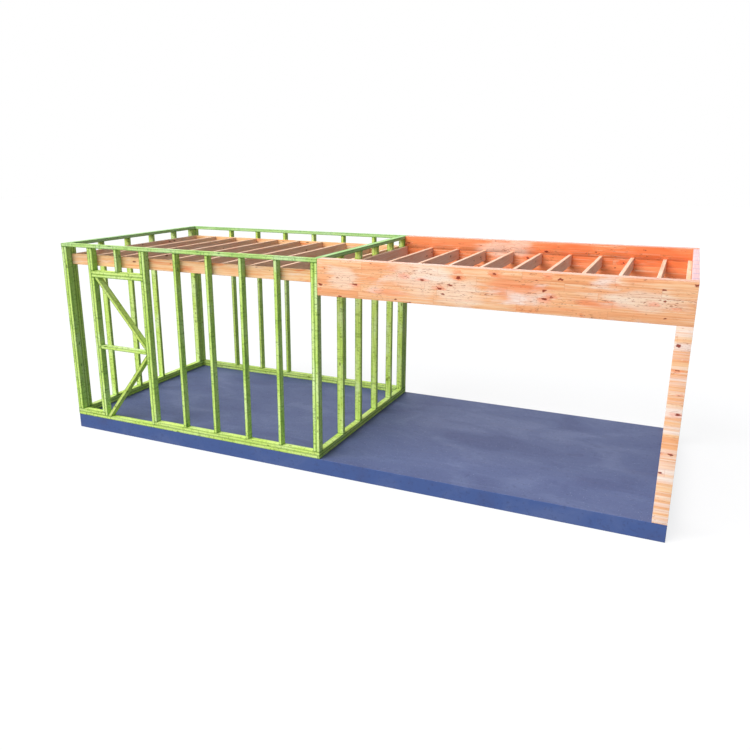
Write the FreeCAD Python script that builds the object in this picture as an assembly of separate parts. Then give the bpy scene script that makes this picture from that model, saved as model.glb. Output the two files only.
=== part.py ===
import FreeCAD, Part
import os

from FreeCAD import Vector

os.makedirs("parts", exist_ok=True)

# A small timber building frame standing on a concrete slab: a stud-walled room on the left
# and an open carport bay of laminated beams and posts on the right.
# All sizes are in millimetres. X runs along the front from left to right, Y runs from the
# front to the back and Z is up. The finished model has its origin under the slab's middle.

# ---- overall sizes -------------------------------------------------------------------------
ROOM_LENGTH = 4000.0        # outside length of the stud-walled room along the front
CARPORT_LENGTH = 4000.0     # length of the open bay beside the room
FRAME_DEPTH = 3000.0        # front to back, walls and carport alike
WALL_HEIGHT = 2500.0        # slab top to the top of the wall plates
SLAB_THICKNESS = 200.0

# ---- stud-wall timber ----------------------------------------------------------------------
STUD_WIDTH = 45.0           # narrow face of every stud and plate
STUD_DEPTH = 90.0           # wide face, which is also the wall's thickness
STUD_ARRIS = 3.0            # eased long edges of planed timber

# ---- front wall ----------------------------------------------------------------------------
FRONT_STUD_PITCH = 500.0    # measured back from the right corner
DOOR_BAY_START = 550.0      # left corner of the wall to the left side of the door bay
DOOR_BAY_WIDTH = 810.0      # clear width between the jack studs
DOOR_HEAD_HEIGHT = 2060.0   # slab top to the underside of the header
DOOR_RAIL_HEIGHT = 1050.0   # slab top to the underside of the rail that stiffens the bay

# ---- side and back walls -------------------------------------------------------------------
SIDE_STUD_COUNT = 4         # single studs between the ends of each side wall
BACK_STUD_PITCH = 528.0     # measured back from the right corner

# ---- roof joists ---------------------------------------------------------------------------
JOIST_WIDTH = 45.0
JOIST_DEPTH = 145.0
JOIST_DROP = 150.0          # wall top down to the joist tops
ROOM_JOIST_PITCH = 410.0
CARPORT_JOIST_PITCH = 399.0

# ---- laminated carport timber --------------------------------------------------------------
BEAM_DEPTH = 425.0          # height of the front, back and end beams
BEAM_WIDTH = 150.0          # thickness of the front and back beams
END_BEAM_WIDTH = 70.0       # thickness of the beam across the open end
POST_SIDE = 150.0           # square post under each outer corner
GLULAM_ARRIS = 4.0

SLAB_ARRIS = 4.0

# ---- levels and lines that follow from the sizes ---------------------------------------------
FRAME_LENGTH = ROOM_LENGTH + CARPORT_LENGTH
SLAB_TOP = SLAB_THICKNESS
SOLE_TOP = SLAB_TOP + STUD_WIDTH
PLATE_TOP = SOLE_TOP + STUD_WIDTH
WALL_TOP = SLAB_TOP + WALL_HEIGHT
STUD_TOP = WALL_TOP - STUD_WIDTH
PAIR = 2.0 * STUD_WIDTH
INNER_BACK = FRAME_DEPTH - STUD_DEPTH
INNER_RIGHT = ROOM_LENGTH - STUD_DEPTH
DOOR_BAY_END = DOOR_BAY_START + DOOR_BAY_WIDTH
HEADER_BOTTOM = SLAB_TOP + DOOR_HEAD_HEIGHT
HEADER_MIDDLE = HEADER_BOTTOM + STUD_WIDTH
HEADER_TOP = HEADER_MIDDLE + STUD_WIDTH
RAIL_BOTTOM = SLAB_TOP + DOOR_RAIL_HEIGHT
RAIL_TOP = RAIL_BOTTOM + STUD_WIDTH
JOIST_TOP = WALL_TOP - JOIST_DROP
JOIST_BOTTOM = JOIST_TOP - JOIST_DEPTH
BEAM_BOTTOM = WALL_TOP - BEAM_DEPTH

CENTRE = Vector(FRAME_LENGTH / 2.0, FRAME_DEPTH / 2.0, 0.0)


def chamfer_along(shape, direction, arris):
    """Ease every edge of a shape that runs along one direction."""
    edges = []
    for edge in shape.Edges:
        run = edge.Vertexes[1].Point - edge.Vertexes[0].Point
        run.normalize()
        if abs(run.dot(direction)) > 0.999:
            edges.append(edge)
    return shape.makeChamfer(arris, edges)


def timber(x0, x1, y0, y1, z0, z1, arris=STUD_ARRIS):
    """One straight length of timber between six planes, with its long edges eased."""
    size = Vector(x1 - x0, y1 - y0, z1 - z0)
    box = Part.makeBox(size.x, size.y, size.z, Vector(x0, y0, z0))
    longest = max(size.x, size.y, size.z)
    if longest == size.x:
        direction = Vector(1, 0, 0)
    elif longest == size.y:
        direction = Vector(0, 1, 0)
    else:
        direction = Vector(0, 0, 1)
    return chamfer_along(box, direction, arris)


def stud_in_long_wall(x, y, bottom=PLATE_TOP, top=STUD_TOP):
    """A stud of the front or back wall, narrow face to the front."""
    return timber(x, x + STUD_WIDTH, y, y + STUD_DEPTH, bottom, top)


def stud_in_side_wall(x, y):
    """A stud of a side wall, wide face to the front."""
    return timber(x, x + STUD_DEPTH, y, y + STUD_WIDTH, PLATE_TOP, STUD_TOP)


def raking_brace(corners):
    """A brace cut to fit its corners in the wall's plane, as deep as the wall is thick."""
    points = [Vector(x, 0, z) for x, z in corners]
    face = Part.Face(Part.makePolygon(points + [points[0]]))
    brace = face.extrude(Vector(0, STUD_DEPTH, 0))
    rake = points[-1] - points[0]
    rake.normalize()
    return chamfer_along(brace, rake, STUD_ARRIS)


def starts(first, last, pitch):
    """Places at a pitch from the first, stopping half a pitch short of the last, and the last."""
    places = []
    place = first
    while place <= last - pitch / 2.0:
        places.append(place)
        place += pitch
    return places + [last]


def save(name, *solids):
    """Write one named node, moved so that the origin lies under the middle of the slab."""
    shape = solids[0] if len(solids) == 1 else Part.makeCompound(list(solids))
    placed = shape.copy()
    placed.translate(Vector(-CENTRE.x, -CENTRE.y, -CENTRE.z))
    placed.exportStep("parts/" + name + ".step")


def slab():
    """The concrete slab that everything stands on."""
    box = Part.makeBox(FRAME_LENGTH, FRAME_DEPTH, SLAB_THICKNESS)
    save("concrete_slab", box.makeChamfer(SLAB_ARRIS, box.Edges))


def plate(name, x0, x1, y0, y1, bottom):
    """One flat-laid plate of a wall."""
    save(name, timber(x0, x1, y0, y1, bottom, bottom + STUD_WIDTH))


def front_wall_plates():
    """Sole plate through, bottom plate stopped either side of the door bay, top plate through."""
    plate("front_sole_plate", 0, ROOM_LENGTH, 0, STUD_DEPTH, SLAB_TOP)
    plate("front_bottom_plate_left", 0, DOOR_BAY_START - STUD_WIDTH, 0, STUD_DEPTH, SOLE_TOP)
    plate("front_bottom_plate_right", DOOR_BAY_END + STUD_WIDTH, ROOM_LENGTH, 0, STUD_DEPTH,
          SOLE_TOP)
    plate("front_top_plate", 0, ROOM_LENGTH, 0, STUD_DEPTH, STUD_TOP)


def front_wall_studs():
    """Doubled corner studs and the single studs between the door bay and the right corner."""
    save("front_left_corner_stud_outer", stud_in_long_wall(0, 0))
    save("front_left_corner_stud_inner", stud_in_long_wall(STUD_WIDTH, 0))
    save("front_right_corner_stud_inner", stud_in_long_wall(ROOM_LENGTH - PAIR, 0))
    save("front_right_corner_stud_outer", stud_in_long_wall(ROOM_LENGTH - STUD_WIDTH, 0))
    singles = []
    x = ROOM_LENGTH - PAIR - FRONT_STUD_PITCH
    while x >= DOOR_BAY_END + PAIR + STUD_WIDTH:
        singles.append(stud_in_long_wall(x, 0))
        x -= FRONT_STUD_PITCH
    save("front_wall_studs", *singles)


def door_bay_frame():
    """King studs, jack studs, the doubled flat header and the short studs above it."""
    left_jack = DOOR_BAY_START - STUD_WIDTH
    left_king = left_jack - STUD_WIDTH
    right_jack = DOOR_BAY_END
    right_king = right_jack + STUD_WIDTH
    save("door_king_stud_left", stud_in_long_wall(left_king, 0))
    save("door_king_stud_right", stud_in_long_wall(right_king, 0))
    save("door_jack_stud_left", stud_in_long_wall(left_jack, 0, SOLE_TOP, HEADER_BOTTOM))
    save("door_jack_stud_right", stud_in_long_wall(right_jack, 0, SOLE_TOP, HEADER_BOTTOM))
    plate("door_header_lower", left_jack, right_king, 0, STUD_DEPTH, HEADER_BOTTOM)
    plate("door_header_upper", left_jack, right_king, 0, STUD_DEPTH, HEADER_MIDDLE)
    middle = (DOOR_BAY_START + DOOR_BAY_END - STUD_WIDTH) / 2.0
    for name, x in (("left", left_jack), ("middle", middle), ("right", right_jack)):
        save("door_cripple_stud_" + name, stud_in_long_wall(x, 0, HEADER_TOP, STUD_TOP))


def door_bay_bracing():
    """The K of timber that stiffens the door bay: a rail and two raking braces."""
    plate("door_bay_rail", DOOR_BAY_START, DOOR_BAY_END, 0, STUD_DEPTH, RAIL_BOTTOM)
    rise = HEADER_BOTTOM - RAIL_TOP
    slope = (rise ** 2 + DOOR_BAY_WIDTH ** 2) ** 0.5
    along = STUD_WIDTH * slope / rise
    down = STUD_WIDTH * slope / DOOR_BAY_WIDTH
    save("door_bay_brace_upper", raking_brace([
        (DOOR_BAY_START, HEADER_BOTTOM), (DOOR_BAY_START + along, HEADER_BOTTOM),
        (DOOR_BAY_END, RAIL_TOP + down), (DOOR_BAY_END, RAIL_TOP)]))
    rise = RAIL_BOTTOM - SOLE_TOP
    slope = (rise ** 2 + DOOR_BAY_WIDTH ** 2) ** 0.5
    along = STUD_WIDTH * slope / rise
    down = STUD_WIDTH * slope / DOOR_BAY_WIDTH
    save("door_bay_brace_lower", raking_brace([
        (DOOR_BAY_START, SOLE_TOP), (DOOR_BAY_START + along, SOLE_TOP),
        (DOOR_BAY_END, RAIL_BOTTOM - down), (DOOR_BAY_END, RAIL_BOTTOM)]))


def side_wall(side, x):
    """Plates and studs of one side wall, fitted between the front and back walls."""
    for level, bottom in (("sole", SLAB_TOP), ("bottom", SOLE_TOP), ("top", STUD_TOP)):
        plate(side + "_" + level + "_plate", x, x + STUD_DEPTH, STUD_DEPTH, INNER_BACK, bottom)
    save(side + "_back_end_stud_inner", stud_in_side_wall(x, INNER_BACK - PAIR))
    save(side + "_back_end_stud_outer", stud_in_side_wall(x, INNER_BACK - STUD_WIDTH))
    first = STUD_DEPTH + STUD_WIDTH
    pitch = (INNER_BACK - first) / (SIDE_STUD_COUNT + 1)
    for number in range(1, SIDE_STUD_COUNT + 1):
        save(side + "_wall_stud_" + str(number), stud_in_side_wall(x, first + pitch * number))


def left_front_end_studs():
    """The doubled end studs that back up the left front corner."""
    save("left_front_end_stud_outer", stud_in_side_wall(0, STUD_DEPTH))
    save("left_front_end_stud_inner", stud_in_side_wall(0, STUD_DEPTH + STUD_WIDTH))


def back_wall():
    """Plates, doubled corner studs and single studs of the back wall."""
    for level, bottom in (("sole", SLAB_TOP), ("bottom", SOLE_TOP), ("top", STUD_TOP)):
        plate("back_" + level + "_plate", 0, ROOM_LENGTH, INNER_BACK, FRAME_DEPTH, bottom)
    save("back_left_corner_stud_outer", stud_in_long_wall(0, INNER_BACK))
    save("back_left_corner_stud_inner", stud_in_long_wall(STUD_WIDTH, INNER_BACK))
    save("back_right_corner_stud_inner", stud_in_long_wall(ROOM_LENGTH - PAIR, INNER_BACK))
    save("back_right_corner_stud_outer", stud_in_long_wall(ROOM_LENGTH - STUD_WIDTH, INNER_BACK))
    studs = []
    x = ROOM_LENGTH - STUD_WIDTH - BACK_STUD_PITCH
    while x >= PAIR + BACK_STUD_PITCH:
        studs.append(stud_in_long_wall(x, INNER_BACK))
        x -= BACK_STUD_PITCH
    save("back_wall_studs", *studs)


def joist(x, y0, y1):
    """One roof joist on edge, front to back."""
    return timber(x, x + JOIST_WIDTH, y0, y1, JOIST_BOTTOM, JOIST_TOP)


def room_roof():
    """Rim joists fixed inside the front and back walls, and the joists between them."""
    front = STUD_DEPTH + JOIST_WIDTH
    back = INNER_BACK - JOIST_WIDTH
    save("room_front_rim_joist",
         timber(STUD_DEPTH, INNER_RIGHT, STUD_DEPTH, front, JOIST_BOTTOM, JOIST_TOP))
    save("room_back_rim_joist",
         timber(STUD_DEPTH, INNER_RIGHT, back, INNER_BACK, JOIST_BOTTOM, JOIST_TOP))
    places = starts(STUD_DEPTH, INNER_RIGHT - JOIST_WIDTH, ROOM_JOIST_PITCH)
    save("room_roof_joists", *[joist(x, front, back) for x in places])


def carport_beams():
    """Front and back beams along the bay and the thinner beam across its open end."""
    save("carport_front_beam", timber(ROOM_LENGTH, FRAME_LENGTH, 0, BEAM_WIDTH, BEAM_BOTTOM,
                                      WALL_TOP, GLULAM_ARRIS))
    save("carport_back_beam", timber(ROOM_LENGTH, FRAME_LENGTH, FRAME_DEPTH - BEAM_WIDTH,
                                     FRAME_DEPTH, BEAM_BOTTOM, WALL_TOP, GLULAM_ARRIS))
    save("carport_end_beam", timber(FRAME_LENGTH - END_BEAM_WIDTH, FRAME_LENGTH, BEAM_WIDTH,
                                    FRAME_DEPTH - BEAM_WIDTH, BEAM_BOTTOM, WALL_TOP,
                                    GLULAM_ARRIS))


def carport_posts():
    """A square post under each outer corner, flush with the slab's edges."""
    x = FRAME_LENGTH - POST_SIDE
    for name, y in (("front", 0.0), ("rear", FRAME_DEPTH - POST_SIDE)):
        save("carport_" + name + "_post", timber(x, FRAME_LENGTH, y, y + POST_SIDE, SLAB_TOP,
                                                 BEAM_BOTTOM, GLULAM_ARRIS))


def carport_joists():
    """Roof joists between the carport beams, the first against the room's wall."""
    last = FRAME_LENGTH - END_BEAM_WIDTH - JOIST_WIDTH
    places = starts(ROOM_LENGTH, last, CARPORT_JOIST_PITCH)
    save("carport_roof_joists",
         *[joist(x, BEAM_WIDTH, FRAME_DEPTH - BEAM_WIDTH) for x in places])


slab()
front_wall_plates()
front_wall_studs()
door_bay_frame()
door_bay_bracing()
side_wall("left", 0.0)
left_front_end_studs()
side_wall("right", INNER_RIGHT)
back_wall()
room_roof()
carport_beams()
carport_posts()
carport_joists()
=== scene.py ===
"""Timber building frame: a stud-walled room with a sunken joist roof beside an open carport."""

import logging
import math
import random
from abc import ABC, abstractmethod
from dataclasses import dataclass, replace
from enum import Enum
from typing import ClassVar

import bpy
from mathutils import Matrix, Vector

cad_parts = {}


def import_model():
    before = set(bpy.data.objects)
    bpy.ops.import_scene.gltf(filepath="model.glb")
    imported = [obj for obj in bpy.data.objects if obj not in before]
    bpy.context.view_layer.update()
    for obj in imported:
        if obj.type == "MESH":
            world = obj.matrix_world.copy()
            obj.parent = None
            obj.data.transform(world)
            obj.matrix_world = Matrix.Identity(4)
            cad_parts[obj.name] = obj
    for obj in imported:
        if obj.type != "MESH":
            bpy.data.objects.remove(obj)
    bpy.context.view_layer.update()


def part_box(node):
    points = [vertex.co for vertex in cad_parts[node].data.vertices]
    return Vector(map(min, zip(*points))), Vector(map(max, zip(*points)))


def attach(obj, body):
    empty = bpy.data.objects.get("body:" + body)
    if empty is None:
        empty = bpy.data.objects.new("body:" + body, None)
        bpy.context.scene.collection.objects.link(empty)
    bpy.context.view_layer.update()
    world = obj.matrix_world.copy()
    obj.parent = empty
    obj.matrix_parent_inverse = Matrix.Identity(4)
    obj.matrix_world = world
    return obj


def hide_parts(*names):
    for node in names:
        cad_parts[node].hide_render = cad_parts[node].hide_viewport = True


LOG = logging.getLogger("timber_frame")

# How far a blot's outline wanders, where it fades out and where it is at full strength, in shares
# of its half size, and what stands for the distance where there is no blot.
BLOT_WANDER, BLOT_EDGE, BLOT_HEART, NO_BLOT = 1.6, 1.25, 0.35, 1.0

Socket = bpy.types.NodeSocket
Tree = bpy.types.NodeTree


def colour(code: str) -> tuple[float, float, float, float]:
    """Turn an sRGB hex colour into linear light.

    Args:
        code: six hex digits, red first.

    Returns:
        Linear red, green, blue and an alpha of 1.
    """
    parts = [int(code[i:i + 2], 16) / 255.0 for i in (0, 2, 4)]
    linear = [p / 12.92 if p <= 0.04045 else ((p + 0.055) / 1.055) ** 2.4 for p in parts]
    return linear[0], linear[1], linear[2], 1.0


def add_node(tree: Tree, kind: str, inputs: dict[str | int, object] | None = None,
             **settings: object) -> bpy.types.Node:
    """Add one node, set its options, and fill or link its inputs.

    Args:
        tree: the node tree that gets the node.
        kind: the node's type name, without its ShaderNode prefix.
        inputs: a value or an output socket for each input, by name or number.
        settings: the node's own options.

    Returns:
        The new node.
    """
    node = tree.nodes.new("ShaderNode" + kind)
    for option, value in settings.items():
        setattr(node, option, value)
    for key, value in (inputs or {}).items():
        if isinstance(value, bpy.types.NodeSocket):
            tree.links.new(value, node.inputs[key])
        else:
            node.inputs[key].default_value = value
    return node


class Lengthways(Enum):
    """Which way a timber's grain runs, as the turn that brings it onto the first axis."""

    ALONG_FRONT = (0.0, 0.0, 0.0)
    FRONT_TO_BACK = (0.0, 0.0, -math.pi / 2.0)
    UPRIGHT = (0.0, math.pi / 2.0, 0.0)


@dataclass(frozen=True)
class Grain:
    """Noise drawn out along a timber's length.

    Attributes:
        along: its size along the length, in metres.
        across: its size across the length, in metres.
        detail: how many finer layers it has.
        twist: how much it is distorted.
    """

    along: float
    across: float
    detail: float
    twist: float = 0.0


@dataclass(frozen=True)
class Spots:
    """Spots scattered one to a cell, of which some cells have none.

    Attributes:
        along: a cell's size along the length, in metres.
        across: its size across the length, in metres.
        bare: the share of cells that have no spot.
        edge: how far from its middle a spot fades out, in cells.
        heart: how far from its middle it is at full strength, in cells.
        ragged: how uneven its outline is.
    """

    along: float
    across: float
    bare: float
    edge: float
    heart: float
    ragged: float


@dataclass(frozen=True)
class Blot:
    """A soft-edged patch at one place on a timber's long side.

    Attributes:
        x: its middle along the front, in metres.
        z: its middle's height, in metres.
        wide: half its width, in metres.
        high: half its height, in metres.
    """

    x: float
    z: float
    wide: float
    high: float


@dataclass(frozen=True)
class Coat:
    """A colour laid over those below it, where a pattern is strong.

    Attributes:
        code: the colour, as six hex digits.
        pattern: the pattern that places it, or nothing where it lies all over.
        low: the pattern's value at which the coat begins.
        high: the value at which it is strongest, which may lie below low.
        most: how much of it shows there.
        only: a second pattern, which limits it.
    """

    code: str
    pattern: str = ""
    low: float = 0.0
    high: float = 1.0
    most: float = 1.0
    only: str = ""


@dataclass(frozen=True)
class Finish(ABC):
    """What every finish shares: patterns in the piece's own space, coats of colour and a shader.

    Attributes:
        CALLED: the finish's name, which starts its materials' names.
        OVERALL: the colour that stands for the whole where no pattern is drawn.
        BASE: the colour below every coat.
        GRAINS: its drawn-out patterns.
        SPOTS: its spotted patterns.
        ROUGH: the pattern that the roughness follows, with its least and most.
        RELIEF: how much each pattern raises the surface.
        DEPTH: how high the relief is, in metres.
        ARRIS: how far in from its outer edges a piece is darkened by painted shade, in metres.
        SPECULAR: how strongly it mirrors.
        seed: moves the patterns, so that pieces show different parts of them.
        turn: the turn that brings the grain onto the first axis.
    """

    CALLED: ClassVar[str]
    OVERALL: ClassVar[str]
    BASE: ClassVar[str]
    GRAINS: ClassVar[dict[str, Grain]]
    SPOTS: ClassVar[dict[str, Spots]]
    ROUGH: ClassVar[tuple[str, float, float]]
    RELIEF: ClassVar[dict[str, float]]
    DEPTH: ClassVar[float]
    ARRIS: ClassVar[float] = 0.0
    SPECULAR: ClassVar[float] = 0.15

    seed: int
    turn: tuple[float, float, float] = Lengthways.ALONG_FRONT.value

    def place(self, tree: Tree) -> Socket:
        """The piece's own coordinates in metres, grain first, moved by the seed.

        Args:
            tree: the node tree.

        Returns:
            The pattern space.
        """
        shift = random.Random(self.seed)
        coordinates = add_node(tree, "TexCoord").outputs["Object"]
        mapped = add_node(tree, "Mapping", {
            "Vector": coordinates, "Rotation": self.turn,
            "Location": tuple(shift.uniform(-20.0, 20.0) for _ in range(3))})
        return mapped.outputs[0]

    def grain(self, tree: Tree, place: Socket, kind: Grain) -> Socket:
        """Noise drawn out along the length.

        Args:
            tree: the node tree.
            place: the pattern space.
            kind: the noise's sizes.

        Returns:
            A value from 0 to 1.
        """
        scaled = add_node(tree, "Mapping", {
            "Vector": place, "Scale": (1.0 / kind.along, 1.0 / kind.across, 1.0 / kind.across)})
        noise = add_node(tree, "TexNoise", {
            "Vector": scaled.outputs[0], "Scale": 1.0, "Detail": kind.detail, "Roughness": 0.55,
            "Distortion": kind.twist})
        return noise.outputs[0]

    def spots(self, tree: Tree, place: Socket, kind: Spots) -> Socket:
        """Scattered spots, such as knots or pits.

        Args:
            tree: the node tree.
            place: the pattern space.
            kind: the spots' sizes and number.

        Returns:
            One in the heart of a spot and 0 outside.
        """
        scaled = add_node(tree, "Mapping", {
            "Vector": place, "Scale": (1.0 / kind.along, 1.0 / kind.across, 1.0 / kind.across)})
        # The lumps of a spot's outline are a third of a cell.
        wobble = add_node(tree, "TexNoise", {
            "Vector": scaled.outputs[0], "Scale": 3.0, "Detail": 2.0})
        moved = add_node(tree, "Mix", {
            0: kind.ragged, 4: scaled.outputs[0], 5: wobble.outputs["Color"]}, data_type="VECTOR")
        cells = add_node(tree, "TexVoronoi", {"Vector": moved.outputs[1], "Scale": 1.0})
        chance = add_node(tree, "SeparateColor", {"Color": cells.outputs["Color"]})
        filled = add_node(tree, "Math", {0: chance.outputs[0], 1: kind.bare},
                          operation="GREATER_THAN")
        return add_node(tree, "MapRange", {
            "Value": cells.outputs["Distance"], "From Min": kind.edge, "From Max": kind.heart,
            "To Max": filled.outputs[0]}, interpolation_type="SMOOTHSTEP").outputs[0]

    def faces(self, tree: Tree) -> dict[str, Socket]:
        """How far the surface faces right and up, and how far it faces either side.

        Args:
            tree: the node tree.

        Returns:
            Each as a pattern, by name.
        """
        normal = add_node(tree, "NewGeometry").outputs["Normal"]
        turned = add_node(tree, "SeparateXYZ", {0: normal}).outputs
        flank = add_node(tree, "Math", {0: turned["X"]}, operation="ABSOLUTE").outputs[0]
        return {"right": turned["X"], "up": turned["Z"], "flank": flank}

    def patterns(self, tree: Tree) -> dict[str, Socket]:
        """Every pattern that the coats, the roughness and the relief use.

        Args:
            tree: the node tree.

        Returns:
            The patterns, by name.
        """
        place = self.place(tree)
        found = {name: self.grain(tree, place, kind) for name, kind in self.GRAINS.items()}
        found |= {name: self.spots(tree, place, kind) for name, kind in self.SPOTS.items()}
        if self.ARRIS:
            # Painted shade: light inside the piece is under 1 near its outer edges, and 1 in from
            # them.
            inside = add_node(tree, "AmbientOcclusion", {"Distance": self.ARRIS},
                              inside=True, only_local=True, samples=6)
            found["arris"] = inside.outputs["AO"]
        return found | self.faces(tree)

    @abstractmethod
    def coats(self) -> list[Coat]:
        """The finish's colours above its base, lowest first."""

    def material(self, piece: str) -> bpy.types.Material:
        """The finish as a material.

        Args:
            piece: the name of the piece that it is for.

        Returns:
            The material, with its pattern, roughness and relief.
        """
        made = bpy.data.materials.new(f"{self.CALLED}.{piece}")
        made.use_nodes = True
        tree = made.node_tree
        tree.nodes.clear()
        found = self.patterns(tree)
        shade = add_node(tree, "RGB").outputs[0]
        shade.default_value = colour(self.BASE)
        for coat in self.coats():
            amount = coat.most
            if coat.pattern:
                amount = add_node(tree, "MapRange", {
                    "Value": found[coat.pattern], "From Min": coat.low, "From Max": coat.high,
                    "To Max": coat.most}, interpolation_type="SMOOTHSTEP").outputs[0]
            if coat.only:
                amount = add_node(tree, "Math", {0: amount, 1: found[coat.only]},
                                  operation="MULTIPLY").outputs[0]
            shade = add_node(tree, "Mix", {0: amount, 6: shade, 7: colour(coat.code)},
                             data_type="RGBA").outputs[2]
        pattern, least, most = self.ROUGH
        rough = add_node(tree, "MapRange", {
            "Value": found[pattern], "To Min": least, "To Max": most}).outputs[0]
        height = 0.0
        for pattern, weight in self.RELIEF.items():
            height = add_node(tree, "Math", {0: found[pattern], 1: weight, 2: height},
                              operation="MULTIPLY_ADD").outputs[0]
        bump = add_node(tree, "Bump", {"Height": height, "Distance": self.DEPTH, "Strength": 0.6})
        shader = add_node(tree, "BsdfPrincipled", {
            "Base Color": shade, "Roughness": rough, "Normal": bump.outputs[0],
            "Specular IOR Level": self.SPECULAR})
        add_node(tree, "OutputMaterial", {"Surface": shader.outputs[0]})
        made.diffuse_color = colour(self.OVERALL)
        return made


@dataclass(frozen=True)
class TreatedGreenTimber(Finish):
    """Pressure-treated framing pine, sawn.

    Copper salts forced into the wood under pressure turn it lime to olive green. The saw leaves
    marks across the grain. Painted shade darkens a band along the arrises, where pieces meet,
    and tints the faces turned to the right a deeper green.
    marks across the grain, and the arrises take up more of the salts and stay darker.

    Attributes:
        pale: how far the stain has washed out in patches.
        mint: how far weather has bleached the whole piece to a cool mint.
        olive: how far the salts have turned to a yellow olive.
    """

    CALLED: ClassVar[str] = "pressure_treated_sawn_pine"
    OVERALL: ClassVar[str] = "B4D264"
    BASE: ClassVar[str] = "B4DC52"
    # Growth rings of 3 mm are drawn 9 mm apart to show. Patches of stain are a stud's width or
    # more, with darker bands 55 mm long. Saw marks come about every 20 mm as the timber is fed,
    # and knots are 10 to 25 mm.
    GRAINS: ClassVar[dict[str, Grain]] = {
        "fibres": Grain(0.50, 0.009, 4.0, 0.3),
        "stain": Grain(0.60, 0.16, 2.0, 0.5),
        "bands": Grain(0.055, 0.25, 4.0, 1.0),
        "marks": Grain(0.020, 0.050, 3.0, 0.3)}
    SPOTS: ClassVar[dict[str, Spots]] = {"knot": Spots(0.13, 0.055, 0.68, 0.22, 0.10, 0.20)}
    ROUGH: ClassVar[tuple[str, float, float]] = ("fibres", 0.68, 0.90)
    RELIEF: ClassVar[dict[str, float]] = {"fibres": 1.0, "marks": -0.6}
    DEPTH: ClassVar[float] = 0.0012
    ARRIS: ClassVar[float] = 0.016

    pale: float = 0.0
    mint: float = 0.0
    olive: float = 0.0

    def coats(self) -> list[Coat]:
        """The finish's colours above its base.

        Returns:
            The coats, lowest first.
        """
        return [
            Coat("E4FC92", "fibres", 0.35, 0.58),
            Coat("EAFCCC", "stain", 0.46, 0.66, 0.48 + self.pale),
            Coat("8EB842", "stain", 0.45, 0.27, 0.45),
            Coat("64902E", "bands", 0.55, 0.69, 0.40),
            Coat("4E7428", "marks", 0.57, 0.68, 0.60),
            Coat("E6FBB8", "marks", 0.40, 0.28, 0.45),
            Coat("46561F", "knot", most=0.80),
            # Painted shade: faces turned to the right, away from the key lamp, get a deeper cool
            # green.
            Coat("6CC072", "right", 0.50, 0.90, 0.34),
            Coat("C2C63C", most=self.olive),
            Coat("96CFA0", most=self.mint),
            # Painted shade: a darker band along each piece's outer edges, where pieces meet.
            Coat("46761E", "arris", 1.0, 0.5, 0.90)]


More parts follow.
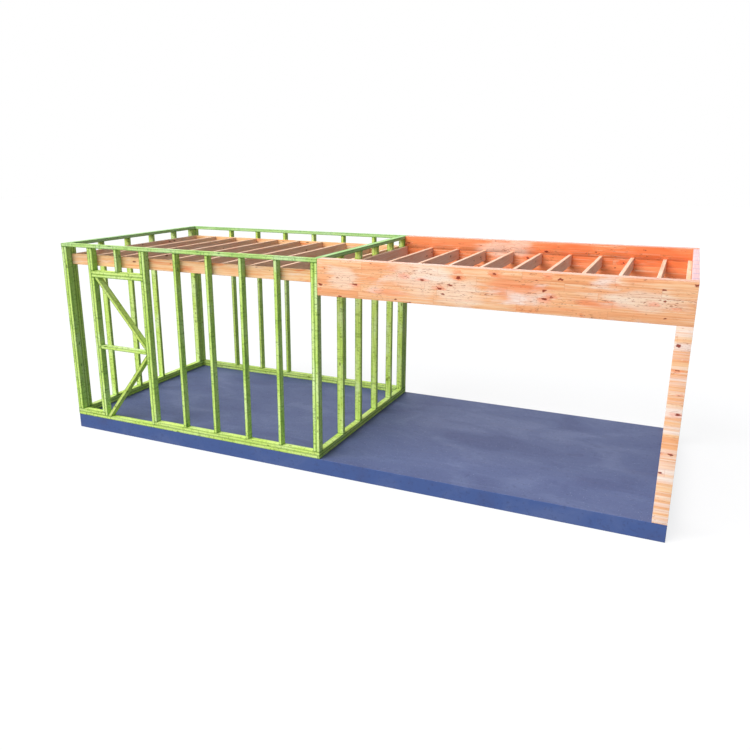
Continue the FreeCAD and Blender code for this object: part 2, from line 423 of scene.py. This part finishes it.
@dataclass(frozen=True)
class LaminatedSpruce(Finish):
    """Laminated knotty spruce, planed.

    Boards are finger jointed end to end and glued one on another, and the whole is planed. Each
    board keeps its own tone, with dark knots, pitch streaks and a fine glue line between boards.

    Attributes:
        floor: the height of the lowest board's underside, which the timber sets.
        board: the height of a board, which the timber sets.
        blush: how red the boards are.
        bleach: how pale they are, where less than 0 keeps them deep.
        pale_top: how far the upper face is paler and pinker.
        contrast: how far one board's tone differs from the next one's.
        length: about how long a board is between finger joints, in metres.
        marked: how plainly cross lines show on the upper face.
        washed: where the front and back have faded.
        flushed: where they are redder.
        drift: how long a pale patch is, in metres.
        band: how high it is, in metres.
    """

    CALLED: ClassVar[str] = "laminated_planed_spruce"
    OVERALL: ClassVar[str] = "F7BC8C"
    BASE: ClassVar[str] = "FDCD9C"
    # Growth rings of 3 mm are drawn 13 mm apart to show, with fibres of 5 and 8 mm between. Knots
    # are 15 to 35 mm, and pitch streaks about 35 mm by 8 mm, gathered in patches. Halos share the
    # knots' cells, so each lies round a knot. BENT patterns bend round it, and OWN ones don't.
    SPOTS: ClassVar[dict[str, Spots]] = {
        "knot": Spots(0.125, 0.062, 0.34, 0.20, 0.05, 0.38),
        "halo": Spots(0.125, 0.062, 0.76, 0.60, 0.05, 0.38)}
    BENT: ClassVar[dict[str, Grain]] = {
        "rings": Grain(0.95, 0.013, 4.0, 0.6), "fibres": Grain(0.26, 0.008, 4.0),
        "lines": Grain(0.60, 0.0055, 3.0, 0.4)}
    OWN: ClassVar[dict[str, Grain]] = {
        "pitch": Grain(0.070, 0.016, 4.0, 1.6), "gather": Grain(0.36, 0.13, 1.0)}
    ROUGH: ClassVar[tuple[str, float, float]] = ("rings", 0.42, 0.62)
    RELIEF: ClassVar[dict[str, float]] = {"fibres": 0.5, "knot": -0.5}
    DEPTH: ClassVar[float] = 0.0006
    SPECULAR: ClassVar[float] = 0.3
    # A face is one of the timber's ends where its normal's share along the grain is over this.
    END_FACING: ClassVar[float] = 0.7
    # How far rows of boards are staggered, in board lengths, and how far apart boards' patterns
    # lie and rings bend round a knot, in metres.
    STAGGER: ClassVar[float] = 7.0
    APART: ClassVar[float] = 9.0
    KNOT_BEND: ClassVar[float] = 0.02
    # How much of the pitch shows in a washed place, and how high a warm band is beside a pale one.
    WASHED_PITCH: ClassVar[float] = 0.55
    WARM_BAND: ClassVar[float] = 0.65

    floor: float = 0.0
    board: float = 0.0
    blush: float = 0.25
    bleach: float = 0.0
    pale_top: float = 0.2
    contrast: float = 0.6
    length: float = 0.9
    marked: float = 0.0
    washed: tuple[Blot, ...] = ()
    flushed: tuple[Blot, ...] = ()
    drift: float = 0.55
    band: float = 0.17

    def side_grain(self, tree: Tree) -> Socket:
        """The pattern space, turned on the timber's ends so that its boards show there too.

        Args:
            tree: the node tree.

        Returns:
            The pattern space.
        """
        place = self.place(tree)
        normal = add_node(tree, "NewGeometry").outputs["Normal"]
        turned = add_node(tree, "Mapping", {"Vector": normal, "Rotation": self.turn}).outputs[0]
        facing = add_node(tree, "SeparateXYZ", {0: turned}).outputs[0]
        facing = add_node(tree, "Math", {0: facing}, operation="ABSOLUTE").outputs[0]
        end = add_node(tree, "Math", {0: facing, 1: self.END_FACING},
                       operation="GREATER_THAN").outputs[0]
        along, across, up = add_node(tree, "SeparateXYZ", {0: place}).outputs
        swapped = add_node(tree, "CombineXYZ", {0: across, 1: along, 2: up}).outputs[0]
        return add_node(tree, "Mix", {0: end, 4: place, 5: swapped},
                        data_type="VECTOR").outputs[1]

    def blots(self, tree: Tree, whole: Socket, ragged: Socket, blots: tuple[Blot, ...]) -> Socket:
        """Soft-edged patches, each at its own place.

        Args:
            tree: the node tree.
            whole: the piece's own coordinates in metres.
            ragged: noise that breaks up their outlines.
            blots: the patches.

        Returns:
            One in the middle of a patch and 0 outside.
        """
        least = add_node(tree, "Math", {0: ragged, 1: NO_BLOT}, operation="ADD").outputs[0]
        for blot in blots:
            near = add_node(tree, "Mapping", {
                "Vector": whole, "Scale": (1.0 / blot.wide, 0.0, 1.0 / blot.high),
                "Location": (-blot.x / blot.wide, 0.0, -blot.z / blot.high)}).outputs[0]
            away = add_node(tree, "VectorMath", {0: near}, operation="LENGTH").outputs["Value"]
            away = add_node(tree, "Math", {0: ragged, 1: BLOT_WANDER, 2: away},
                            operation="MULTIPLY_ADD").outputs[0]
            away = add_node(tree, "Math", {0: away, 1: BLOT_WANDER / 2.0},
                            operation="SUBTRACT").outputs[0]
            least = add_node(tree, "Math", {0: least, 1: away}, operation="MINIMUM").outputs[0]
        return add_node(tree, "MapRange", {
            "Value": least, "From Min": BLOT_EDGE, "From Max": BLOT_HEART},
            interpolation_type="SMOOTHSTEP").outputs[0]

    def boards(self, tree: Tree, whole: Socket, place: Socket) -> dict[str, Socket]:
        """How the timber is divided into rows of boards, joined end to end.

        Args:
            tree: the node tree.
            whole: the piece's own coordinates in metres.
            place: the pattern space.

        Returns:
            The height in boards as storey, the way along a row as run, and each board's random
            value and colour as tone and shift.
        """
        level = add_node(tree, "SeparateXYZ", {0: whole}).outputs["Z"]
        storey = add_node(tree, "MapRange", {
            "Value": level, "From Min": self.floor, "From Max": self.floor + self.board},
            clamp=False).outputs[0]
        row = add_node(tree, "Math", {0: storey}, operation="FLOOR").outputs[0]
        along = add_node(tree, "SeparateXYZ", {0: place}).outputs["X"]
        run = add_node(tree, "TexWhiteNoise", {"W": row}, noise_dimensions="1D").outputs["Value"]
        run = add_node(tree, "Math", {0: run, 1: self.STAGGER * self.length, 2: along},
                       operation="MULTIPLY_ADD").outputs[0]
        count = add_node(tree, "Math", {0: run, 1: self.length}, operation="DIVIDE").outputs[0]
        count = add_node(tree, "Math", {0: count}, operation="FLOOR").outputs[0]
        board = add_node(tree, "CombineXYZ", {0: row, 1: count, 2: float(self.seed)}).outputs[0]
        own = add_node(tree, "TexWhiteNoise", {"Vector": board}).outputs
        return {"storey": storey, "run": run, "tone": own["Value"], "shift": own["Color"]}

    def patterns(self, tree: Tree) -> dict[str, Socket]:
        """Every pattern that the coats, the roughness and the relief use.

        Args:
            tree: the node tree.

        Returns:
            The patterns, by name.
        """
        place = self.side_grain(tree)
        whole = add_node(tree, "TexCoord").outputs["Object"]
        found = self.boards(tree, whole, place)
        apart = add_node(tree, "VectorMath", {
            0: found["shift"], 1: (self.APART,) * 3, 2: place},
            operation="MULTIPLY_ADD").outputs[0]
        found |= {name: self.spots(tree, apart, kind) for name, kind in self.SPOTS.items()}
        bend = add_node(tree, "Math", {0: found["halo"], 1: self.KNOT_BEND},
                        operation="MULTIPLY").outputs[0]
        bend = add_node(tree, "CombineXYZ", {1: bend}).outputs[0]
        bent = add_node(tree, "VectorMath", {0: apart, 1: bend}, operation="ADD").outputs[0]
        found |= {name: self.grain(tree, bent, kind) for name, kind in self.BENT.items()}
        found |= {name: self.grain(tree, apart, kind) for name, kind in self.OWN.items()}
        found["washed"] = self.blots(tree, whole, found["gather"], self.washed)
        found["flushed"] = self.blots(tree, whole, found["gather"], self.flushed)
        dense = add_node(tree, "MapRange", {
            "Value": found["gather"], "From Min": 0.44, "From Max": 0.66}).outputs[0]
        found["gathered"] = add_node(tree, "Math", {
            0: found["washed"], 1: self.WASHED_PITCH, 2: dense},
            operation="MULTIPLY_ADD").outputs[0]
        found["patch"] = self.grain(tree, place, Grain(self.drift, self.band, 4.0, 0.3))
        found["warm"] = self.grain(
            tree, place, Grain(self.drift, self.WARM_BAND * self.band, 3.0, 0.4))
        # The way to the nearest glue line, in boards, and to the nearest finger joint, in metres.
        found["glue"] = add_node(tree, "Math", {0: found["storey"], 1: 0.5},
                                 operation="PINGPONG").outputs[0]
        found["finger"] = add_node(tree, "Math", {0: found["run"], 1: self.length / 2.0},
                                   operation="PINGPONG").outputs[0]
        return found | self.faces(tree)

    def coats(self) -> list[Coat]:
        """The finish's colours above its base.

        Returns:
            The coats, lowest first.
        """
        clean = 1.0 - 0.6 * max(0.0, self.bleach)
        fade = 0.50 - 0.2 * self.bleach
        return [
            Coat("F8AE78", "tone", 0.1, 0.9, self.contrast),
            Coat("FA6A1C", most=0.72 * self.blush),
            Coat("ED9A62", "rings", 0.50, 0.62, 0.62),
            Coat("FFE4C2", "rings", 0.46, 0.32, 0.60),
            Coat("F88048", "warm", 0.54, 0.74, 0.22 + 0.6 * self.blush),
            Coat("F8662C", "flushed", most=0.34),
            Coat("FFF0E6", "patch", fade, fade + 0.24, 0.80),
            Coat("FFF2DE", "washed", most=0.52),
            Coat("D98850", "fibres", 0.54, 0.68, 0.45 * clean),
            Coat("C87446", "lines", 0.58, 0.68, 0.50 * clean),
            Coat("FA6A3A", "halo", most=0.42 * clean),
            Coat("A2502E", "pitch", 0.57, 0.66, 0.85 * clean, "gathered"),
            Coat("8A2E18", "knot", 0.1, 0.7, 0.95),
            Coat("F0CAD6", "up", 0.50, 0.90, 0.85 * self.pale_top),
            Coat("BC6E48", "glue", 0.040, 0.012, 0.50, "rings"),
            Coat("BC6E48", "finger", 0.005, 0.002, 0.20),
            Coat("BE9CB4", "finger", 0.032, 0.020, self.marked, "up")]


@dataclass(frozen=True)
class JoistSpruce(Finish):
    """Untreated spruce joist timber, sawn and eased.

    Pale peach to orange, with growth rings drawn out along its length, a few knots, and the
    saw's faint ripple. Its broad sides carry painted shade in a greyish rose, and painted shade
    darkens its arrises.

    Attributes:
        warmth: how far the colour goes from pale peach to orange.
    """

    CALLED: ClassVar[str] = "sawn_joist_spruce"
    OVERALL: ClassVar[str] = "F8CBA6"
    BASE: ClassVar[str] = "FFDCC2"
    # Growth rings of 4 mm are drawn 14 mm apart to show. The saw's ripple is 10 mm, and knots
    # are 10 to 40 mm.
    GRAINS: ClassVar[dict[str, Grain]] = {
        "rings": Grain(0.80, 0.014, 3.0, 0.5), "fibres": Grain(0.18, 0.005, 3.0),
        "patch": Grain(0.40, 0.060, 3.0, 0.5), "ripple": Grain(0.010, 0.20, 1.0)}
    SPOTS: ClassVar[dict[str, Spots]] = {"knot": Spots(0.16, 0.065, 0.50, 0.18, 0.08, 0.26)}
    ROUGH: ClassVar[tuple[str, float, float]] = ("rings", 0.60, 0.78)
    RELIEF: ClassVar[dict[str, float]] = {"fibres": 1.0, "ripple": 0.4}
    DEPTH: ClassVar[float] = 0.0007
    ARRIS: ClassVar[float] = 0.008

    warmth: float = 0.0

    def coats(self) -> list[Coat]:
        """The finish's colours above its base.

        Returns:
            The coats, lowest first.
        """
        return [
            Coat("F0B892", "rings", 0.40, 0.68, 0.75),
            Coat("FFC87E", most=0.76 * self.warmth),
            Coat("F8944A", "rings", 0.47, 0.64, 0.55 * self.warmth),
            Coat("FFE8D8", "patch", 0.55, 0.75, 0.55),
            Coat("F0702E", "patch", 0.44, 0.27, 0.30 + 0.40 * self.warmth),
            Coat("D0825A", "fibres", 0.56, 0.70, 0.45),
            # Painted shade: the broad sides, turned away from the lamps, are dulled to a greyish
            # rose.
            Coat("DE9C88", "flank", 0.50, 0.90, 0.26),
            Coat("84402A", "knot", most=0.85),
            # Painted shade: the joists' outer edges are darkened.
            Coat("E2A680", "arris", 1.0, 0.5, 0.35)]


@dataclass(frozen=True)
class TrowelledConcrete(Finish):
    """Blue-grey concrete, power trowelled on top and struck from smooth shuttering at its edges.

    The trowel leaves cloudy patches and long faint sweeps, with fine pits and pale flecks of sand.
    """

    CALLED: ClassVar[str] = "power_trowelled_concrete"
    OVERALL: ClassVar[str] = "6A7698"
    BASE: ClassVar[str] = "475D92"
    # Clouds are 550 to 900 mm, and trowel sweeps about 100 mm wide. Sand of 1 mm and grit of 4 mm
    # are drawn 13 and 35 mm across to show, and pits of 3 mm are drawn 6 to 12 mm across.
    GRAINS: ClassVar[dict[str, Grain]] = {
        "clouds": Grain(0.90, 0.55, 4.0, 0.9), "sweeps": Grain(0.80, 0.10, 4.0, 1.5),
        "grit": Grain(0.040, 0.035, 5.0, 0.4), "sand": Grain(0.016, 0.013, 2.0)}
    SPOTS: ClassVar[dict[str, Spots]] = {"pit": Spots(0.060, 0.060, 0.6, 0.10, 0.05, 0.0)}
    ROUGH: ClassVar[tuple[str, float, float]] = ("clouds", 0.78, 0.53)
    RELIEF: ClassVar[dict[str, float]] = {"grit": 1.0, "pit": -1.5}
    DEPTH: ClassVar[float] = 0.0010
    SPECULAR: ClassVar[float] = 0.25

    def coats(self) -> list[Coat]:
        """The finish's colours above its base.

        Returns:
            The coats, lowest first.
        """
        return [
            Coat("535F88", "up", 0.50, 0.95),
            Coat("65729A", "clouds", 0.48, 0.72, 0.45),
            Coat("4A527A", "clouds", 0.47, 0.28, 0.50),
            Coat("7480A2", "sweeps", 0.54, 0.76, 0.18, "up"),
            Coat("5E5E7C", "sweeps", 0.44, 0.28, 0.20, "up"),
            Coat("3C466C", "grit", 0.54, 0.70, 0.38),
            Coat("A6B0C6", "sand", 0.66, 0.74, 0.45, "up"),
            Coat("3A4160", "pit", most=0.7)]


def deselect_all() -> None:
    """Leave nothing selected, and no mesh in edit mode."""
    if bpy.context.object and bpy.context.object.mode != "OBJECT":
        bpy.ops.object.mode_set(mode="OBJECT")
    bpy.ops.object.select_all(action="DESELECT")


def dress(node: str, finish: Finish) -> None:
    """Give a packed timber or slab its finish.

    Args:
        node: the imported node's name.
        finish: its finish.
    """
    piece = bpy.data.objects[node]
    made = finish.material(node)
    if not piece.material_slots:
        piece.data.materials.append(None)
    for holder in piece.material_slots:
        holder.link = "OBJECT"
        holder.material = made
    LOG.info("dressed %s", node)


@dataclass
class Slab:
    """The concrete slab.

    Attributes:
        seed: sets its patterns apart.
    """

    seed: int = 11

    def build(self) -> None:
        """Dress the slab."""
        dress("concrete_slab", TrowelledConcrete(self.seed))


@dataclass
class StudWall:
    """One wall's plates and studs.

    Attributes:
        plates: its plates' names.
        studs: its studs' names.
        along: which way the plates run.
        seed: sets the pieces' patterns apart from other walls'.
        weathered: how far its top plate has bleached.
        ripened: how far its studs have turned to a yellow olive.
    """

    STUD_SEEDS: ClassVar[int] = 50

    plates: list[str]
    studs: list[str]
    along: Lengthways
    seed: int
    weathered: float = 0.5
    ripened: float = 0.12

    def build(self) -> None:
        """Dress the wall, piece by piece."""
        for number, name in enumerate(self.plates):
            top = "top" in name
            dress(name, TreatedGreenTimber(
                self.seed + number, self.along.value, pale=0.1 if top else -0.2,
                mint=self.weathered if top else 0.0, olive=0.0 if top else 0.12))
        for number, name in enumerate(self.studs):
            dress(name, TreatedGreenTimber(
                self.seed + self.STUD_SEEDS + number, Lengthways.UPRIGHT.value,
                olive=self.ripened))


@dataclass
class DoorBay:
    """The framed and braced bay in the front wall.

    Attributes:
        seed: sets its pieces' patterns apart from the walls'.
        level: its level pieces' names.
        upright: its upright pieces' names.
        falling: the name of the brace whose right end is its lower end.
        rising: the name of the other brace.
    """

    UPRIGHT_SEEDS: ClassVar[int] = 20
    BRACE_SEEDS: ClassVar[int] = 40

    seed: int = 700
    level: tuple[str, ...] = ("door_header_lower", "door_header_upper", "door_bay_rail")
    upright: tuple[str, ...] = (
        "door_king_stud_left", "door_king_stud_right", "door_jack_stud_left",
        "door_jack_stud_right", "door_cripple_stud_left", "door_cripple_stud_middle",
        "door_cripple_stud_right")
    falling: str = "door_bay_brace_upper"
    rising: str = "door_bay_brace_lower"

    def rake(self, name: str) -> tuple[float, float, float]:
        """The turn for a brace that rises or falls to the right.

        Args:
            name: the brace's name.

        Returns:
            The turn that brings its grain onto the first axis.
        """
        low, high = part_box(name)
        angle = math.atan2(high.z - low.z, high.x - low.x)
        return 0.0, -angle if name == self.falling else angle, 0.0

    def build(self) -> None:
        """Dress the bay, piece by piece."""
        for number, name in enumerate(self.level):
            dress(name, TreatedGreenTimber(self.seed + number))
        for number, name in enumerate(self.upright):
            dress(name, TreatedGreenTimber(self.seed + self.UPRIGHT_SEEDS + number,
                                           Lengthways.UPRIGHT.value))
        for name in (self.falling, self.rising):
            dress(name, TreatedGreenTimber(self.seed + self.BRACE_SEEDS, self.rake(name),
                                           pale=-0.2, olive=0.25))


@dataclass
class RoomRoof:
    """The room's rim joists and the joists between them.

    Attributes:
        seed: sets its pieces' patterns apart from others'.
    """

    seed: int = 900

    def build(self) -> None:
        """Dress the roof's timbers."""
        dress("room_front_rim_joist", JoistSpruce(self.seed, warmth=0.75))
        dress("room_back_rim_joist", JoistSpruce(self.seed + 1, warmth=0.9))
        dress("room_roof_joists",
              JoistSpruce(self.seed + 2, Lengthways.FRONT_TO_BACK.value, warmth=0.15))


@dataclass
class LaminatedTimber:
    """A beam or post glued up from boards laid flat, one on another.

    Attributes:
        name: the piece's name.
        node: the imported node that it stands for.
        finish: its finish, without the height of its boards.
        board: about how high a board is.
        groove: half the width and the whole depth of a glue line's groove.
        arris: how far the outer edges are eased.
    """

    SEGMENTS: ClassVar[int] = 3
    SHARP: ClassVar[float] = math.radians(60.0)
    SMOOTH: ClassVar[float] = math.radians(35.0)

    name: str
    node: str
    finish: LaminatedSpruce
    board: float = 0.085
    groove: float = 0.0012
    arris: float = 0.004

    def build(self) -> bpy.types.Object:
        """Model the piece and dress it.

        Returns:
            The finished piece.
        """
        low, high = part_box(self.node)
        size, middle = high - low, (low + high) / 2.0
        count = max(1, round(size.z / self.board))
        deselect_all()
        bpy.ops.mesh.primitive_cube_add(size=1.0, location=middle, scale=size)
        piece = bpy.context.object
        piece.name = piece.data.name = self.name
        bpy.ops.object.transform_apply(location=True, rotation=True, scale=True)
        bpy.ops.object.mode_set(mode="EDIT")
        for line in range(1, count):
            level = low.z + size.z * line / count
            for step in (-self.groove, 0.0, self.groove):
                bpy.ops.mesh.select_all(action="SELECT")
                bpy.ops.mesh.bisect(plane_co=(0.0, 0.0, level + step), plane_no=(0.0, 0.0, 1.0))
            self.sink(piece, level, size, middle)
        bpy.ops.object.mode_set(mode="OBJECT")
        eased = piece.modifiers.new("eased_arrises", "BEVEL")
        eased.width, eased.segments = self.arris, self.SEGMENTS
        eased.limit_method, eased.angle_limit = "ANGLE", self.SHARP
        bpy.ops.object.modifier_apply(modifier=eased.name)
        bpy.ops.object.shade_smooth_by_angle(angle=self.SMOOTH)
        finish = replace(self.finish, floor=low.z, board=size.z / count)
        piece.data.materials.append(finish.material(self.name))
        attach(piece, "root")
        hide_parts(self.node)
        LOG.info("built %s from %d boards", self.name, count)
        return piece

    def sink(self, piece: bpy.types.Object, level: float, size: Vector, middle: Vector) -> None:
        """Draw one glue line's edges in to cut its groove.

        Args:
            piece: the timber, in edit mode.
            level: the glue line's height.
            size: the timber's size.
            middle: the timber's middle.
        """
        bpy.ops.mesh.select_all(action="DESELECT")
        bpy.ops.mesh.select_mode(type="VERT")
        bpy.ops.object.mode_set(mode="OBJECT")
        for corner in piece.data.vertices:
            corner.select = abs(corner.co.z - level) < self.groove / 4.0
        bpy.ops.object.mode_set(mode="EDIT")
        narrow = [(side - 2.0 * self.groove) / side for side in (size.x, size.y)]
        bpy.ops.transform.resize(value=(*narrow, 1.0), center_override=(middle.x, middle.y, level))


@dataclass
class Carport:
    """The open carport's laminated beams and posts, and its roof joists.

    Attributes:
        seed: sets its pieces' patterns apart from others'.
    """

    seed: int = 300

    def build(self) -> None:
        """Model the laminated timbers and dress the joists."""
        seed, across = self.seed, Lengthways.FRONT_TO_BACK.value
        upright = LaminatedSpruce(seed + 3, blush=0.0, bleach=0.50, contrast=0.75, drift=3.0,
                                  band=0.07)
        front = LaminatedSpruce(
            seed, blush=0.15, bleach=-0.25,
            washed=(Blot(0.32, 2.49, 0.22, 0.13), Blot(1.30, 2.56, 0.42, 0.20),
                    Blot(1.70, 2.44, 0.32, 0.16), Blot(3.55, 2.50, 0.60, 0.10)),
            flushed=(Blot(2.35, 2.52, 0.36, 0.15), Blot(0.85, 2.38, 0.30, 0.05),
                     Blot(3.10, 2.43, 0.30, 0.05)))
        back = LaminatedSpruce(
            seed + 1, blush=1.0, bleach=-1.0, washed=(Blot(1.50, 2.60, 0.42, 0.14),),
            flushed=(Blot(2.50, 2.58, 0.30, 0.20), Blot(3.40, 2.55, 0.60, 0.20)))
        end = LaminatedSpruce(seed + 2, across, pale_top=1.0, length=0.36, marked=0.75)
        timbers = [
            LaminatedTimber("front_beam", "carport_front_beam", front),
            LaminatedTimber("back_beam", "carport_back_beam", back),
            LaminatedTimber("end_beam", "carport_end_beam", end),
            LaminatedTimber("front_post", "carport_front_post", upright),
            LaminatedTimber("rear_post", "carport_rear_post", replace(upright, seed=seed + 4)),
        ]
        for timber in timbers:
            timber.build()
        dress("carport_roof_joists", JoistSpruce(seed + 10, across, warmth=0.1))


@dataclass
class Studio:
    """A plain pale floor, soft light and the camera.

    Attributes:
        sky: the soft light's strength from all round.
        lamps: each lamp's name, its strength and the way towards it.
        spread: how wide a lamp is seen from the frame, which softens shadows.
        floor_side: the floor's side.
        glow: how strongly the floor shines for a ray that shows the background.
        lens: the camera's focal length, in millimetres, for a frame 36 mm wide.
        shift: how far the picture is moved right and up, in widths.
        stand: where the camera stands.
        aim: the camera's turn to the side, up and over, in degrees.
        sight: how far it sees.
    """

    sky: float = 0.28
    lamps: tuple[tuple[str, float, tuple[float, float, float]], ...] = (
        ("key_lamp", 3.75, (-0.40, -0.62, 0.68)), ("fill_lamp", 0.9, (-0.30, 0.90, 0.30)))
    spread: float = math.radians(50.0)
    floor_side: float = 120.0
    glow: float = 0.81
    lens: float = 34.296
    shift: tuple[float, float] = (0.03323, -0.01331)
    stand: tuple[float, float, float] = (3.86335, -8.82152, 3.78437)
    aim: tuple[float, float, float] = (25.176, 74.076, -0.078)
    sight: float = 500.0

    def build(self) -> None:
        """Make the floor, the light and the camera."""
        self.lay_floor()
        self.light()
        self.set_camera()

    def seen(self, tree: Tree) -> Socket:
        """One for a ray that shows the background, straight, in a gloss or through glass.

        Args:
            tree: the node tree.

        Returns:
            One for such a ray, and 0 for one that lights the frame.
        """
        path = add_node(tree, "LightPath")
        either = add_node(tree, "Math", {
            0: path.outputs["Is Camera Ray"], 1: path.outputs["Is Glossy Ray"]},
            operation="MAXIMUM").outputs[0]
        return add_node(tree, "Math", {0: either, 1: path.outputs["Is Transmission Ray"]},
                        operation="MAXIMUM").outputs[0]

    def lay_floor(self) -> None:
        """A pale floor that keeps the frame's shadow."""
        deselect_all()
        bpy.ops.mesh.primitive_plane_add(size=self.floor_side, location=(0.0, 0.0, 0.0))
        floor = bpy.context.object
        floor.name = "floor"
        made = bpy.data.materials.new("pale_floor")
        made.use_nodes = True
        tree = made.node_tree
        tree.nodes.clear()
        lit = add_node(tree, "BsdfDiffuse", {"Color": colour("8E8E8E")})
        shown = add_node(tree, "BsdfDiffuse", {"Color": colour("7C7C7C")})
        glow = add_node(tree, "Emission", {"Color": colour("FFFFFF"), "Strength": self.glow})
        pale = add_node(tree, "AddShader", {0: shown.outputs[0], 1: glow.outputs[0]})
        both = add_node(tree, "MixShader", {
            0: self.seen(tree), 1: lit.outputs[0], 2: pale.outputs[0]})
        add_node(tree, "OutputMaterial", {"Surface": both.outputs[0]})
        floor.data.materials.append(made)

    def light(self) -> None:
        """A soft sky all round, a broad lamp high in front on the left and a weak one behind."""
        world = bpy.data.worlds.new("studio")
        bpy.context.scene.world = world
        world.use_nodes = True
        tree = world.node_tree
        tree.nodes.clear()
        sky = add_node(tree, "Background", {"Color": colour("E4EEFF"), "Strength": self.sky})
        white = add_node(tree, "Background", {"Color": colour("FFFFFF"), "Strength": 1.0})
        both = add_node(tree, "MixShader", {
            0: self.seen(tree), 1: sky.outputs[0], 2: white.outputs[0]})
        add_node(tree, "OutputWorld", {"Surface": both.outputs[0]})
        for name, strength, towards in self.lamps:
            lamp = bpy.data.lights.new(name, "SUN")
            lamp.energy, lamp.angle = strength, self.spread
            holder = bpy.data.objects.new(name, lamp)
            bpy.context.scene.collection.objects.link(holder)
            holder.rotation_euler = Vector(towards).to_track_quat("Z", "Y").to_euler()

    def set_camera(self) -> None:
        """The camera, to the right of the middle and above the roof."""
        lens = bpy.data.cameras.new("camera")
        lens.sensor_width, lens.lens = 36.0, self.lens
        lens.shift_x, lens.shift_y = self.shift
        lens.clip_end = self.sight
        holder = bpy.data.objects.new("camera", lens)
        bpy.context.scene.collection.objects.link(holder)
        placed = Matrix.Translation(self.stand)
        for degrees, axis in zip(self.aim, "ZXZ"):
            placed = placed @ Matrix.Rotation(math.radians(degrees), 4, axis)
        holder.matrix_world = placed
        bpy.context.scene.camera = holder


def walls() -> list[StudWall]:
    """The four walls, named as the frame's own pieces.

    Returns:
        The walls: left, right, front and back.
    """
    found = []
    for side, seed in (("left", 200), ("right", 400)):
        plates = [f"{side}_{level}_plate" for level in ("sole", "bottom", "top")]
        studs = [f"{side}_back_end_stud_inner", f"{side}_back_end_stud_outer"]
        studs += [f"{side}_wall_stud_{number}" for number in range(1, 5)]
        if side == "left":
            studs += ["left_front_end_stud_outer", "left_front_end_stud_inner"]
        found.append(StudWall(plates, studs, Lengthways.FRONT_TO_BACK, seed))
    corners = ["left_corner_stud_outer", "left_corner_stud_inner",
               "right_corner_stud_inner", "right_corner_stud_outer"]
    found.append(StudWall(
        ["front_sole_plate", "front_bottom_plate_left", "front_bottom_plate_right",
         "front_top_plate"],
        [f"front_{name}" for name in corners] + ["front_wall_studs"],
        Lengthways.ALONG_FRONT, 500, weathered=0.25, ripened=0.0))
    found.append(StudWall(
        ["back_sole_plate", "back_bottom_plate", "back_top_plate"],
        [f"back_{name}" for name in corners] + ["back_wall_studs"],
        Lengthways.ALONG_FRONT, 600))
    return found


def main() -> None:
    """Load the frame, dress and build every piece, and set the studio round it."""
    logging.basicConfig(level=logging.INFO, format="%(name)s: %(message)s")
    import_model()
    bpy.context.scene.view_settings.view_transform = "Standard"
    Studio().build()
    Slab().build()
    for wall in walls():
        wall.build()
    DoorBay().build()
    RoomRoof().build()
    Carport().build()


if __name__ == "__main__":
    main()
